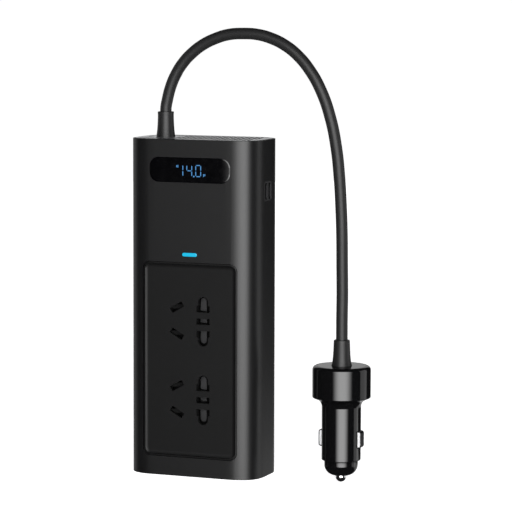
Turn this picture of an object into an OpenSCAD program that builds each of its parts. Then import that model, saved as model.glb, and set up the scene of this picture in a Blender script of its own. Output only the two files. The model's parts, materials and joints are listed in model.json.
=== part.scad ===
// Upright vehicle power inverter with two five-hole mains outlets, a voltage display, side charging
// ports, a fan under a top grille and a captive lead that ends in a lighter plug.
// The origin is the middle of the underside of the body. +Z is up and the outlets face -Y.

/* [Body] */
// Width of the body, left to right
body_w = 72.6; // [66:0.2:90]
// Depth of the body, front to back
body_t = 39.4; // [38:0.2:48]
// Height of the body
body_h = 176; // [170:1:215]
// Reach of the four upright corners, which blend into the flat faces
corner_r = 16.4; // [13:0.1:17]
// Thickness of the sleeve wall
wall = 2; // [1.6:0.1:2.4]

/* [Display] */
// Width of the display window
display_w = 45; // [40:0.5:46]
// Height of the display window
display_h = 12.9; // [11:0.1:14]
// Corner radius of the display window
display_r = 5; // [3:0.5:5.5]
// Distance from the top of the body down to the middle of the window
display_drop = 15.6; // [15:0.1:17]
// Height of one lit digit
digit_h = 6.2; // [5:0.1:6.8]
// Distance from one digit to the next
digit_pitch = 5; // [4.8:0.1:5.6]

/* [Outlets] */
// Width of the outlet panel
panel_w = 53; // [51:0.5:54]
// Height of the outlet panel
panel_h = 102.4; // [100:0.2:110]
// Height of the panel's lower edge above the base
panel_base = 10; // [9:0.5:12]
// Corner radius of the outlet panel
panel_r = 4; // [3:0.5:6]
// Distance between the middles of the two outlets
outlet_pitch = 41.2; // [39:0.2:44]
// Depth of the recess in the face of the panel
panel_recess = 0.8; // [0.4:0.1:1]
// Length of a slanted blade slot
slot_length = 7.6; // [7.2:0.1:8]
// Width of a slanted blade slot
slot_width = 3; // [2.4:0.1:3.2]

/* [Top] */
// Thickness of the top grille
grille_t = 1.8; // [1.4:0.1:2]
// Distance between neighbouring grille openings, left to right
mesh_pitch = 2.74; // [2.6:0.02:4]
// Distance between rows of grille openings, front to back
mesh_row = 6.8; // [6:0.2:9]
// Width of the bars between grille openings
mesh_bar = 0.72; // [0.6:0.02:1]
// Side of the square fan
fan_w = 25; // [25:1:26]
// Depth of the fan
fan_t = 10; // [9:0.5:11]

/* [Charging ports] */
// Width of the moulded port surround, front to back
port_w = 10.6; // [10:0.1:12]
// Height of the moulded port surround
port_h = 10.2; // [10:0.1:12]
// Distance between the two ports
port_pitch = 5; // [4.8:0.1:5.4]
// Distance from the top of the body down to the middle of the ports
port_drop = 26.5; // [26:0.5:28]

/* [Lead] */
// Diameter of the lead
cord_d = 6; // [5:0.1:6.4]

/* [Lighter plug] */
// Diameter of the plug's collar
collar_d = 30.2; // [28:0.2:34]
// Height of the plug's collar
collar_h = 16.5; // [14:0.5:18]
// Diameter of the plug's barrel
barrel_d = 20.4; // [20:0.02:24.5]
// Diameter of the screwed nose
nose_d = 17.4; // [17:0.1:18]
// Diameter of the centre contact
tip_d = 5.6; // [5:0.1:6]
// Travel of the centre contact
tip_travel = 2.5; // [2:0.1:3]
// Travel of each side contact
side_travel = 1.1; // [0.8:0.1:1.2]

/* [Hidden] */
$fn = 48;

// Clearance between pieces that are put together
fit = 0.15;
// Clearance around pieces that slide
slide = 0.3;
// Depth that a cut runs past a face, so that it leaves no skin
past = 1;
// Segments in a quarter turn of a drawn outline
arc_steps = 12;

// Power of the curve that the upright corners follow: 2 would be a circle
corner_power = 2.8;
corner_steps = 18;

front = -body_t / 2;
back = body_t / 2;
side = body_w / 2;
flat_w = body_w - 2 * corner_r;
inner_front = front + wall;
inner_back = back - wall;

// Screw bosses in the sleeve
boss_r = 3;
boss_x = side - wall - 4.1;
boss_y = 7;
boss_short = 0.3;
screw_r = 1.25;
screw_head_r = 2.3;
sunk = 0.1;
cap_t = 2.4;
lower_boss_top = 14;

// Stack under the grille
frame_t = 2.2;
frame_gap = 1;
grille_z = body_h - grille_t;
grille_proud = 0.2;
rabbet = 0.9;
plain_end = 6;
plain_edge = 2.2;
gland_margin = 7.4;
frame_z = grille_z - frame_gap - frame_t;
upper_boss_base = frame_z - 13;
fan_x = 9;
fan_y = 3;
fan_top = frame_z;
fan_hole = 10;
fan_duct = 11.6;
hub_r = 5.2;
tube_r = 2;
shaft_r = 0.75;

// Display stack
display_z = body_h - display_drop;
digit_w = 3.2;
digit_bar = 0.7;
digit_depth = 0.3;
flange_t = 0.8;
module_t = 3;
board_t = 1.2;

// Indicator bar
led_z = panel_base + panel_h + 4.1;
led_w = 8.2;
led_h = 2.1;

// Outlets
panel_z = panel_base + panel_h / 2;
outlets = [panel_z + outlet_pitch / 2, panel_z - outlet_pitch / 2];
panel_t = 2.8;
panel_sunk = 0.1;
panel_back = front + panel_sunk + panel_t;
rim_w = 2.2;
slot_x = 7.4;
slot_z = 6.95;
slot_tilt = 30;
hole_x = 7.25;
hole_start = 4.8;
hole_base_w = 7.4;
hole_base_h = 3.5;
arch_r = 2.8;
arch_z = 10.2;
earth_h = 3.2;
pin_z = 8.8;

// Shutters, in the gap between the panel and the block
shutter_t = 1.2;
ramp_h = 3.6;
shutter_front = panel_back + slide + ramp_h;
block_face = shutter_front + shutter_t + slide;
shutter_gap = block_face - panel_back;
slot_shutter_x = [-11.9, -2.9];
slot_shutter_z = 11;
slot_travel = 8.6;
hole_shutter_x = [3, 11.5];
hole_shutter_z = 14.2;
hole_travel = 8.2;
rail_x = 24.2;
rail_w = 1;

// Socket block and contacts
block_w = 50.4;
block_h = 96.4;
block_t = 15.4;
block_back = block_face + block_t;
strip_t = 0.8;
leaf_t = 0.5;
leaf_start = 4;
rail_strip_x = 15;
earth_step = 1.4;
cover_y = block_back + earth_step + strip_t + 0.2;
cover_t = 1;
cover_x = 23.5;
socket_screw_x = 22;
socket_screw_z = 44;

// Main board, on standoffs from the back wall
main_t = 1.6;
main_back = inner_back - 7.9;
main_front = main_back - main_t;
main_x = side - wall - 5.3;
main_base = 17;
main_top = body_h - 26;
board_screw_x = main_x - 3;
board_screw_z = [main_base + 5, main_top - 5];
sink_t = 3;
sink_y = inner_back - 0.2 - sink_t;
sink_w = 44;
sink_base = 26;
sink_h = 78;
power_zone = main_top - 38;

// Charging ports
port_z = body_h - port_drop;
port_y = -1;
port_shell_w = 3.2;
port_shell_h = 8.9;
port_shell_t = 0.3;
port_depth = 7.3;
port_board_x = side - port_depth - 0.1;

// Lead: the route's points, from the body's strain relief to the plug's
gland_x = -21.8;
gland_h = 13.4;
gland_hole_r = 4.6;
gland_body_r = 4.45;
gland_tail = 8;
gland_top = body_h + gland_h;
plug_x = 78.2;
plug_y = -3.4;
cord_points = [
    [-21.8, 0, 189.4], [-21.7, 0, 191.6], [-20.9, 0, 195.6], [-19.1, -0.1, 202], [-16.2, -0.2, 208.5],
    [-12, -0.3, 214.8], [-6.6, -0.5, 220.2], [-0.4, -0.7, 224.6], [6.5, -1, 227.8], [14.2, -1.2, 230],
    [22.4, -1.5, 230.6], [30.4, -1.8, 230.2], [38.2, -2, 228.3], [45.6, -2.3, 225], [52.6, -2.5, 220],
    [59.5, -2.8, 212.5], [65.9, -3, 202], [71.2, -3.2, 188], [74.5, -3.3, 173], [76.3, -3.4, 158],
    [77.3, -3.4, 143], [77.9, -3.4, 128], [78.1, -3.4, 113], [78.3, -3.4, 98], [78.2, -3.4, 86],
    [78.2, -3.4, 74.2]
];
cord_sides = 12;

// Plug, from its tip upwards
tip_z = 0.3;
nose_z = 3.9;
barrel_z = 11.9;
taper_z = 38.8;
collar_z = taper_z + 5.7;
collar_top = collar_z + collar_h;
plug_relief_top = 74.2;
barrel_r = barrel_d / 2;
barrel_bore = barrel_r - 2;
nose_r = nose_d / 2;
tip_r = tip_d / 2;
tip_flange_z = 9;
tip_flange_t = 1.4;
fuse_r = 3.2;
fuse_l = 25;
fuse_z = tip_flange_z + tip_flange_t;
collar_r = collar_d / 2;
collar_wall = 2;
shoulder_z = collar_z + 6;
contact_w = 5;
contact_z = 23.1;
contact_proud = 1.4;
contact_base = 4.8;

// ---------------------------------------------------------------- outlines and helpers

function corner(cx, cz, r, turn) = [
    for (i = [0:arc_steps]) [cx + r * cos(turn + 90 * i / arc_steps), cz + r * sin(turn + 90 * i / arc_steps)]
];

function rounded_points(w, h, r) = concat(
    corner(w / 2 - r, h / 2 - r, r, 0),
    corner(r - w / 2, h / 2 - r, r, 90),
    corner(r - w / 2, r - h / 2, r, 180),
    corner(w / 2 - r, r - h / 2, r, 270)
);

module rounded(w, h, r) {
    polygon(rounded_points(w, h, r));
}

// Point of a blended corner of radius 1 where its normal is at angle a
function blend_point(a) = a <= 45
    ? let (q = pow(tan(a), 1 / (corner_power - 1)), v = pow(1 + pow(q, corner_power), -1 / corner_power))
        [v, q * v]
    : let (p = blend_point(90 - a)) [p[1], p[0]];

function turned_point(p, turn) =
    [p[0] * cos(turn) - p[1] * sin(turn), p[0] * sin(turn) + p[1] * cos(turn)];

function blended_corner(cx, cy, r, turn) = [
    for (i = [0:corner_steps]) [cx, cy] + r * turned_point(blend_point(90 * i / corner_steps), turn)
];

// The body's cross-section, moved inwards by inset
module outline(inset) {
    cx = side - corner_r;
    cy = back - corner_r;
    polygon(concat(
        blended_corner(cx, cy, corner_r - inset, 0),
        blended_corner(-cx, cy, corner_r - inset, 90),
        blended_corner(-cx, -cy, corner_r - inset, 180),
        blended_corner(cx, -cy, corner_r - inset, 270)
    ));
}

// Half the depth of the cross-section at x, moved inwards by inset
function half_depth(x, inset) =
    let (u = max(0, abs(x) - side + corner_r) / (corner_r - inset))
        back - corner_r + (corner_r - inset) * pow(max(0, 1 - pow(u, corner_power)), 1 / corner_power);

// The whole body's height of the cross-section moved inwards by inset
module core(inset) {
    linear_extrude(body_h) outline(inset);
}

// A shape drawn in X and Z, from depth y0 to depth y1
module front_prism(y0, y1) {
    translate([0, y1, 0])
        rotate([90, 0, 0])
            linear_extrude(y1 - y0) children();
}

// A shape drawn in Y and Z, from x0 to x1
module side_prism(x0, x1) {
    translate([x0, 0, 0])
        rotate([90, 0, 90])
            linear_extrude(x1 - x0) children();
}

module rod_y(x, z, y0, y1, r) {
    translate([x, y0, z])
        rotate([-90, 0, 0])
            cylinder(h = y1 - y0, r = r);
}

module rod_z(x, y, z0, z1, r) {
    translate([x, y, z0])
        cylinder(h = z1 - z0, r = r);
}

module block(x, y, z) {
    translate([x[0], y[0], z[0]])
        cube([x[1] - x[0], y[1] - y[0], z[1] - z[0]]);
}

module at_bosses() {
    for (sx = [-1, 1], sy = [-1, 1])
        translate([sx * boss_x, sy * boss_y, 0]) children();
}

// Faces of a tube of rings, as polyhedron lists. Each quad is two triangles, because it isn't flat.
function tube_sides(rings, sides) = [
    for (i = [0:rings - 2], j = [0:sides - 1])
        let (a = i * sides + j, b = i * sides + (j + 1) % sides)
            each [[a, b, b + sides], [a, b + sides, a + sides]]
];
function tube_ends(rings, sides) = [
    [for (j = [sides - 1:-1:0]) j],
    [for (j = [0:sides - 1]) (rings - 1) * sides + j]
];

function unit(v) = v / norm(v);

// Ring i of a tube of radius r along the points p
function heading(p, i) = i == 0 ? [0, 0, 1]
    : i == len(p) - 1 ? [0, 0, -1]
    : unit(p[i + 1] - p[i - 1]);
function ring(p, i, r, sides) =
    let (t = heading(p, i), a = unit(cross([0, 1, 0], t)), b = cross(t, a))
        [for (j = [0:sides - 1]) p[i] + r * (cos(360 * j / sides) * a + sin(360 * j / sides) * b)];

module swept_tube(p, r, sides) {
    polyhedron(
        points = [for (i = [0:len(p) - 1]) each ring(p, i, r, sides)],
        faces = concat(tube_sides(len(p), sides), tube_ends(len(p), sides)),
        convexity = 6
    );
}

// A coil spring standing on z = 0
spring_steps = 12;
wire_sides = 6;
module coil(r, wire_r, turns, length) {
    steps = turns * spring_steps;
    rise = (length - 2 * wire_r) / steps;
    polyhedron(
        points = [
            for (i = [0:steps], j = [0:wire_sides - 1])
                let (a = 360 * i / spring_steps, b = 360 * j / wire_sides, q = r + wire_r * cos(b))
                    [q * cos(a), q * sin(a), wire_r + i * rise + wire_r * sin(b)]
        ],
        faces = concat(
            [for (f = tube_sides(steps + 1, wire_sides)) [f[2], f[1], f[0]]],
            [for (f = tube_ends(steps + 1, wire_sides)) [for (k = [len(f) - 1:-1:0]) f[k]]]
        ),
        convexity = 8
    );
}

// A countersunk screw whose head is level with z = 0 and whose shank points down
module flush_screw(length, r, head_r) {
    difference() {
        union() {
            translate([0, 0, r - head_r]) cylinder(h = head_r - r, r1 = r, r2 = head_r);
            translate([0, 0, -length]) cylinder(h = length + r - head_r + 0.01, r = r);
        }
        translate([0, 0, -0.6]) screw_cross(head_r);
    }
}
module flush_screw_hole(length, r, head_r) {
    translate([0, 0, r - head_r]) cylinder(h = head_r - r, r1 = r + 0.05, r2 = head_r + 0.05);
    translate([0, 0, -length]) cylinder(h = length + r - head_r + 0.01, r = r + 0.05);
}
module screw_cross(head_r) {
    for (a = [0, 90])
        rotate([0, 0, a])
            translate([-head_r * 0.6, -0.25, 0]) cube([head_r * 1.2, 0.5, 2]);
}
// A pan-head screw along Y, head towards -Y at depth y
module pan_screw_y(x, z, y, length, r, head_r) {
    difference() {
        union() {
            rod_y(x, z, y - 1.5, y, head_r);
            rod_y(x, z, y - 0.01, y + length, r);
        }
        translate([x, y - 1, z])
            rotate([90, 0, 0]) screw_cross(head_r);
    }
}

// ---------------------------------------------------------------- body

module sleeve_bosses() {
    for (sx = [-1, 1], sy = [-1, 1], z = [[cap_t, lower_boss_top], [upper_boss_base, frame_z]]) {
        rod_z(sx * boss_x, sy * boss_y, z[0], z[1], boss_r);
        block(
            [min(sx * boss_x, sx * (side - wall / 2)), max(sx * boss_x, sx * (side - wall / 2))],
            [sy * boss_y - 1.5, sy * boss_y + 1.5],
            z
        );
    }
    for (sx = [-1, 1], z = board_screw_z)
        rod_y(sx * board_screw_x, z, main_back, inner_back - boss_short, boss_r);
}

module sleeve_pilots() {
    at_bosses() {
        rod_z(0, 0, cap_t - past, lower_boss_top - 1, screw_r + 0.05);
        rod_z(0, 0, upper_boss_base + 1, frame_z + past, screw_r + 0.05);
    }
    for (sx = [-1, 1], z = board_screw_z)
        rod_y(sx * board_screw_x, z, main_back - past, inner_back - 0.6, screw_r + 0.05);
}

module outer_sleeve() {
    color("#2b2b2d")
        difference() {
            union() {
                difference() {
                    linear_extrude(body_h) outline(0);
                    translate([0, 0, -past]) linear_extrude(body_h + 2 * past) outline(wall);
                }
                sleeve_bosses();
            }
            sleeve_pilots();
            translate([0, 0, grille_z]) linear_extrude(grille_t + past) outline(rabbet);
            front_prism(front - past, inner_front + past)
                translate([0, display_z]) rounded(display_w + 0.2, display_h + 0.2, display_r + 0.1);
            front_prism(front - past, inner_front + past)
                translate([0, led_z]) rounded(led_w + 0.1, led_h + 0.1, led_h / 2 + 0.05);
            front_prism(front - past, inner_front + past)
                translate([0, panel_z]) rounded(panel_w + 0.2, panel_h + 0.2, panel_r + 0.1);
            side_prism(side - wall - past, side + past)
                translate([port_y, port_z]) rounded(port_w + 0.1, port_h + 0.1, 1.6);
        }
}

module vent_slots() {
    for (sx = [-1, 1], i = [0:3])
        translate([sx * (9 + 4.2 * i), 0]) square([2, body_t - 21], center = true);
}

module bottom_cap() {
    color("#242426")
        difference() {
            linear_extrude(cap_t) outline(wall + fit);
            translate([0, 0, -past]) linear_extrude(cap_t + 2 * past) vent_slots();
            at_bosses() rotate([180, 0, 0]) translate([0, 0, -sunk])
                flush_screw_hole(9, screw_r, screw_head_r);
            at_bosses() rod_z(0, 0, -past, sunk + 0.01, screw_head_r + 0.05);
        }
}

module bottom_screws() {
    color("#8c8d90")
        at_bosses() rotate([180, 0, 0]) translate([0, 0, -sunk]) flush_screw(9, screw_r, screw_head_r);
}

module at_fan_corners() {
    for (sx = [-1, 1], sy = [-1, 1])
        translate([fan_x + sx * fan_hole, fan_y + sy * fan_hole, 0]) children();
}

module top_frame() {
    color("#1f1f20")
        translate([0, 0, frame_z])
            difference() {
                linear_extrude(frame_t) outline(wall + fit);
                rod_z(fan_x, fan_y, -past, frame_t + past, fan_duct);
                rod_z(gland_x, 0, -past, frame_t + past, gland_hole_r);
                translate([0, 0, frame_t]) {
                    at_bosses() flush_screw_hole(10, screw_r, screw_head_r);
                    at_fan_corners() flush_screw_hole(10, screw_r, screw_head_r);
                }
            }
}

module top_screws() {
    color("#8c8d90")
        translate([0, 0, frame_z + frame_t]) at_bosses() flush_screw(10, screw_r, screw_head_r);
}

// Long rhombus openings in staggered rows, kept off the rim and the strain relief
module mesh_openings() {
    half_w = mesh_pitch / 2 - mesh_bar * 0.6;
    half_l = mesh_row - mesh_bar * 2;
    reach_x = side - plain_end;
    columns = floor(reach_x / mesh_pitch);
    rows = floor((back - plain_edge) / mesh_row);
    for (r = [-rows:rows], c = [-columns:columns])
        let (x = (c + (r % 2 == 0 ? 0 : 0.5)) * mesh_pitch, y = r * mesh_row, rim = half_depth(x, plain_edge))
            if (x < reach_x && norm([x - gland_x, max(0, abs(y) - half_l)]) > gland_margin)
                polygon([
                    [x + half_w, y], [x, min(y + half_l, rim)],
                    [x - half_w, y], [x, max(y - half_l, -rim)]
                ]);
}

module top_grille() {
    color("#b4b5b8")
        difference() {
            translate([0, 0, grille_z]) linear_extrude(grille_t + grille_proud) outline(rabbet + fit);
            translate([0, 0, grille_z - past]) linear_extrude(grille_t + 2 * past) mesh_openings();
            rod_z(gland_x, 0, grille_z - past, body_h + past, gland_hole_r);
        }
}

// ---------------------------------------------------------------- display and indicator

// Bars of a seven-segment digit, in the order top, upper right, lower right, bottom, lower left,
// upper left and middle
function bar_place(i) =
    let (w = digit_w - digit_bar, h = (digit_h - digit_bar) / 2, g = digit_bar * 1.25)
        i == 0 ? [0, h, w - g + digit_bar, digit_bar]
        : i == 1 ? [w / 2, h / 2, digit_bar, h - g + digit_bar]
        : i == 2 ? [w / 2, -h / 2, digit_bar, h - g + digit_bar]
        : i == 3 ? [0, -h, w - g + digit_bar, digit_bar]
        : i == 4 ? [-w / 2, -h / 2, digit_bar, h - g + digit_bar]
        : i == 5 ? [-w / 2, h / 2, digit_bar, h - g + digit_bar]
        : [0, 0, w - g + digit_bar, digit_bar];

// Bars that are lit in each of the three digits
lit_bars = [[1, 2], [1, 2, 5, 6], [0, 1, 2, 3, 4, 5]];

module lit_shapes() {
    translate([-0.1, display_z - 0.3]) {
        for (d = [0:2], i = lit_bars[d])
            let (b = bar_place(i))
                translate([(d - 1) * digit_pitch + b[0], b[1]]) square([b[2], b[3]] * 0.96, center = true);
        translate([digit_pitch / 2, -digit_h / 2 + 0.4]) square(0.7, center = true);
    }
}

module display_window() {
    color("#050507")
        difference() {
            union() {
                intersection() {
                    front_prism(front - past, inner_front)
                        translate([0, display_z]) rounded(display_w, display_h, display_r);
                    core(0);
                }
                front_prism(inner_front, inner_front + flange_t)
                    translate([0, display_z]) rounded(flat_w, display_h + 3, display_r + 1);
            }
            front_prism(front - past, front + digit_depth) lit_shapes();
        }
}

module display_digits() {
    color("#8fd0ff") front_prism(front, front + digit_depth) lit_shapes();
}

module digit_module() {
    color("#e8e8e8")
        front_prism(inner_front + flange_t, inner_front + flange_t + module_t)
            translate([0, display_z]) square([34, display_h - 2], center = true);
}

module display_board() {
    y = inner_front + flange_t + module_t;
    color("#1f5b36")
        front_prism(y, y + board_t)
            translate([0, display_z - 0.6]) square([47, display_h + 5], center = true);
}

module led_light_pipe() {
    color("#39c4f5") {
        front_prism(front, inner_front) translate([0, led_z]) rounded(led_w, led_h, led_h / 2);
        front_prism(inner_front, inner_front + 1.2) translate([0, led_z]) rounded(led_w + 2, led_h + 1.4, 1);
    }
}

module led_board() {
    color("#1f5b36")
        front_prism(inner_front + 1.2, inner_front + 1.2 + board_t)
            translate([0, led_z + 1]) square([16, 6], center = true);
}

// ---------------------------------------------------------------- outlet panel and sockets

// One outlet's openings, drawn about the outlet's middle and grown by grow
module slot_shapes(grow) {
    for (s = [-1, 1])
        translate([-slot_x, s * slot_z])
            rotate(s * slot_tilt) square([slot_length + 2 * grow, slot_width + 2 * grow], center = true);
}

module hole_shapes() {
    for (s = [-1, 1])
        translate([hole_x, 0])
            mirror([0, s < 0 ? 1 : 0]) {
                translate([-hole_base_w / 2, hole_start]) square([hole_base_w, hole_base_h]);
                translate([-arch_r, hole_start]) square([2 * arch_r, arch_z - hole_start]);
                translate([0, arch_z]) circle(r = arch_r);
            }
    translate([hole_x, 0]) square([hole_base_w, earth_h], center = true);
}

module at_socket_screws() {
    for (sx = [-1, 1], sz = [-1, 1])
        translate([sx * socket_screw_x, 0, panel_z + sz * socket_screw_z]) children();
}

module socket_panel() {
    color("#1c1c1e")
        difference() {
            union() {
                intersection() {
                    front_prism(front - past, panel_back)
                        translate([0, panel_z]) rounded(panel_w, panel_h, panel_r);
                    core(panel_sunk);
                }
                front_prism(inner_front, panel_back)
                    translate([0, panel_z]) rounded(flat_w, panel_h + 4, 1);
                at_socket_screws() rod_y(0, 0, panel_back - 0.01, block_face, boss_r);
            }
            difference() {
                front_prism(front - past, panel_back)
                    translate([0, panel_z]) rounded(panel_w - 2 * rim_w, panel_h - 2 * rim_w, panel_r - 1);
                core(panel_sunk + panel_recess);
            }
            for (z = outlets)
                front_prism(front - past, panel_back + past)
                    translate([0, z]) {
                        slot_shapes(0);
                        hole_shapes();
                    }
            at_socket_screws() rod_y(0, 0, panel_back - 1.2, block_face + past, screw_r + 0.05);
        }
}

module shutter_rails() {
    block([slot_shutter_x[1] + slide, hole_shutter_x[0] - slide], [panel_back, block_face + 0.01],
        [panel_z - 36, panel_z + 36]);
    for (sx = [-1, 1])
        block([sx * rail_x - rail_w / 2, sx * rail_x + rail_w / 2], [panel_back, block_face + 0.01],
            [panel_z - 36, panel_z + 36]);
    for (z = outlets, s = [-1, 1]) {
        block([hole_shutter_x[0], rail_x], [panel_back, block_face + 0.01],
            [z + s * (hole_shutter_z + slide + rail_w / 2) - rail_w / 2,
             z + s * (hole_shutter_z + slide + rail_w / 2) + rail_w / 2]);
        block([-rail_x, slot_shutter_x[1]], [panel_back, block_face + 0.01],
            [z + s * (slot_shutter_z + slide + rail_w / 2) - rail_w / 2,
             z + s * (slot_shutter_z + slide + rail_w / 2) + rail_w / 2]);
    }
}

module contact_pockets() {
    slot_shapes(0.8);
    for (s = [-1, 1])
        translate([hole_x, s * pin_z]) square([8, 9.4], center = true);
    translate([hole_x, 0]) square([8.2, 4.6], center = true);
}

module socket_block() {
    color("#d8d4c8")
        difference() {
            union() {
                translate([0, 0, panel_z])
                    block([-block_w / 2, block_w / 2], [block_face, block_back], [-block_h / 2, block_h / 2]);
                shutter_rails();
            }
            for (z = outlets)
                front_prism(block_face - past, block_back + past) translate([0, z]) contact_pockets();
            at_socket_screws() rod_y(0, 0, block_face - past, block_back + past, screw_r + 0.05);
        }
}

module socket_screws() {
    color("#8c8d90")
        at_socket_screws()
            mirror([0, 1, 0])
                pan_screw_y(0, 0, -block_back, block_t + shutter_gap + 1, screw_r, screw_head_r);
}

module socket_back_cover() {
    color("#1c1c1e")
        difference() {
            block([-cover_x, cover_x], [cover_y, cover_y + cover_t],
                [panel_z - block_h / 2, panel_z + block_h / 2]);
            for (sx = [-1, 1], z = board_screw_z)
                rod_y(sx * board_screw_x, z, cover_y - past, cover_y + cover_t + past, screw_head_r + slide);
        }
}

// Two leaves that a pin slides between, drawn about the middle of the pocket
module leaves(length, gap) {
    for (s = [-1, 1])
        translate([-length / 2, s * (gap + leaf_t) / 2 - leaf_t / 2]) square([length, leaf_t]);
}

// Contacts of one pole: s is 1 for the upper slot of each outlet and -1 for the lower one
module pole(s) {
    strip_x = s > 0 ? [-rail_strip_x - 2, 11] : [-11, rail_strip_x + 2];
    for (z = outlets) {
        front_prism(block_face + leaf_start, block_back + 0.01)
            translate([-slot_x, z + s * slot_z]) rotate(s * slot_tilt) leaves(6, 1.6);
        front_prism(block_face + leaf_start, block_back + 0.01)
            translate([hole_x, z + s * pin_z]) leaves(6, 6);
        block(strip_x, [block_back, block_back + strip_t], [z + s * 8 - 5, z + s * 8 + 5]);
    }
    block([-s * rail_strip_x - 2, -s * rail_strip_x + 2], [block_back, block_back + strip_t],
        [outlets[1] + s * 8 - 5, outlets[0] + s * 8 + 5]);
}

module live_contacts() {
    color("#c9a25a") pole(1);
}

module neutral_contacts() {
    color("#c9a25a") pole(-1);
}

module earth_contacts() {
    y = block_back + earth_step;
    color("#c9a25a") {
        for (z = outlets)
            front_prism(block_face + leaf_start, y + 0.01) translate([hole_x, z]) leaves(6, 1.6);
        block([hole_x - 3, hole_x + 3], [y, y + strip_t], [outlets[1] - 2, outlets[0] + 2]);
    }
}

// A wedge across a shutter's whole width. It turns a pin's push into the sideways slide.
module wedge(x, z, half_h, towards) {
    low = towards > 0 ? x[0] : x[1];
    high = towards > 0 ? x[1] : x[0];
    translate([0, 0, z - half_h])
        linear_extrude(2 * half_h)
            polygon([
                [low, shutter_front + shutter_t / 2], [low, shutter_front], [high, shutter_front - ramp_h],
                [high, shutter_front + shutter_t / 2]
            ]);
}

module slot_shutter(z) {
    color("#151516") {
        block(slot_shutter_x, [shutter_front, shutter_front + shutter_t],
            [z - slot_shutter_z, z + slot_shutter_z]);
        for (s = [-1, 1]) wedge(slot_shutter_x, z + s * slot_z, 1.2, -1);
    }
}

module hole_shutter(z) {
    color("#6f7073") {
        block(hole_shutter_x, [shutter_front, shutter_front + shutter_t],
            [z - hole_shutter_z, z + hole_shutter_z]);
        for (s = [-1, 0, 1]) wedge(hole_shutter_x, z + s * pin_z, s == 0 ? 1.2 : 3.4, 1);
    }
}

module upper_slot_shutter() { slot_shutter(outlets[0]); }
module lower_slot_shutter() { slot_shutter(outlets[1]); }
module upper_hole_shutter() { hole_shutter(outlets[0]); }
module lower_hole_shutter() { hole_shutter(outlets[1]); }

module shutter_spring(x, z, turn) {
    length = rail_x - rail_w / 2 - abs(x);
    color("#b9bbbe")
        translate([x, shutter_front + shutter_t / 4, z])
            rotate([0, turn, 0]) coil(0.85, 0.15, 7, length);
}

module upper_slot_spring() { shutter_spring(slot_shutter_x[0], outlets[0], -90); }
module lower_slot_spring() { shutter_spring(slot_shutter_x[0], outlets[1], -90); }
module upper_hole_spring() { shutter_spring(hole_shutter_x[1], outlets[0], 90); }
module lower_hole_spring() { shutter_spring(hole_shutter_x[1], outlets[1], 90); }

// ---------------------------------------------------------------- charging ports

module at_ports() {
    for (s = [-1, 1])
        translate([port_y + s * port_pitch / 2, port_z]) children();
}

module port_surround() {
    color("#161617")
        difference() {
            union() {
                side_prism(side - wall, side - 0.1)
                    translate([port_y, port_z]) rounded(port_w, port_h, 1.5);
                side_prism(side - wall - 1, side - wall - 0.05)
                    translate([port_y, port_z]) rounded(port_w - 2, port_h + 3, 1.5);
                side_prism(side - wall - 0.1, side - wall)
                    translate([port_y, port_z]) rounded(port_w - 2, port_h, 1.5);
            }
            side_prism(side - wall - 2, side + past)
                at_ports() rounded(port_shell_w + 0.1, port_shell_h + 0.1, port_shell_w / 2);
        }
}

module port_shells() {
    color("#a9abae")
        difference() {
            side_prism(side - port_depth - 0.1, side - 0.3)
                at_ports() rounded(port_shell_w, port_shell_h, port_shell_w / 2 - 0.01);
            side_prism(side - port_depth + 0.6, side + past)
                at_ports() rounded(port_shell_w - 2 * port_shell_t, port_shell_h - 2 * port_shell_t,
                    port_shell_w / 2 - port_shell_t - 0.01);
        }
}

module port_tongues() {
    color("#2a2a2c")
        side_prism(side - port_depth + 0.6, side - 1.6)
            at_ports() square([0.7, 6.7], center = true);
}

module port_board() {
    color("#1f5b36")
        side_prism(port_board_x - board_t, port_board_x)
            translate([port_y, port_z]) square([14, 16], center = true);
}

// ---------------------------------------------------------------- power electronics

module main_board() {
    color("#1f5b36")
        difference() {
            block([-main_x, main_x], [main_front, main_back], [main_base, main_top]);
            for (sx = [-1, 1], z = board_screw_z)
                rod_y(sx * board_screw_x, z, main_front - past, main_back + past, screw_r + 0.05);
        }
}

module board_screws() {
    color("#8c8d90")
        for (sx = [-1, 1], z = board_screw_z)
            pan_screw_y(sx * board_screw_x, z, main_front, 6.5, screw_r, screw_head_r);
}

module heat_sink() {
    color("#a7a9ac")
        difference() {
            block([-sink_w / 2, sink_w / 2], [sink_y, sink_y + sink_t], [sink_base, sink_base + sink_h]);
            for (i = [-6:6])
                block([i * 3.2 - 0.8, i * 3.2 + 0.8], [sink_y + 1.5, sink_y + sink_t + past],
                    [sink_base - past, sink_base + sink_h + past]);
        }
}

module transistor() {
    block([-5, 5], [main_back + 0.3, sink_y], [0, 9]);
    block([-5, 5], [sink_y - 1.3, sink_y], [9, 15]);
    for (i = [-1:1]) {
        block([i * 2.54 - 0.4, i * 2.54 + 0.4], [main_back + 2, main_back + 2.5], [-4, 0]);
        block([i * 2.54 - 0.4, i * 2.54 + 0.4], [main_back, main_back + 2.5], [-4, -3.5]);
    }
}

module power_transistors() {
    color("#252527")
        for (i = [-1:1], j = [0:1])
            translate([i * 15, 0, sink_base + 12 + j * 36]) transistor();
}

module control_chips() {
    color("#1b1b1d")
        for (i = [0:1])
            translate([-24, main_back, power_zone + 4 + i * 14]) cube([10, 1.8, 6]);
}

module filter_choke() {
    color("#b5652b")
        difference() {
            rod_y(10, power_zone + 18, main_back, main_back + 7, 8);
            rod_y(10, power_zone + 18, main_back - past, main_back + 7 + past, 3.4);
        }
}

// Transformer on the front of the board: a ferrite ring with a middle leg that the winding is wrapped around
core_x = 14;
core_z = main_top - 16;
core_h = 26;
core_leg = 4.2;
window_x = 9.8;
window_h = 16;
core_y = [main_front - 15.2, main_front - 3.2];

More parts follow.
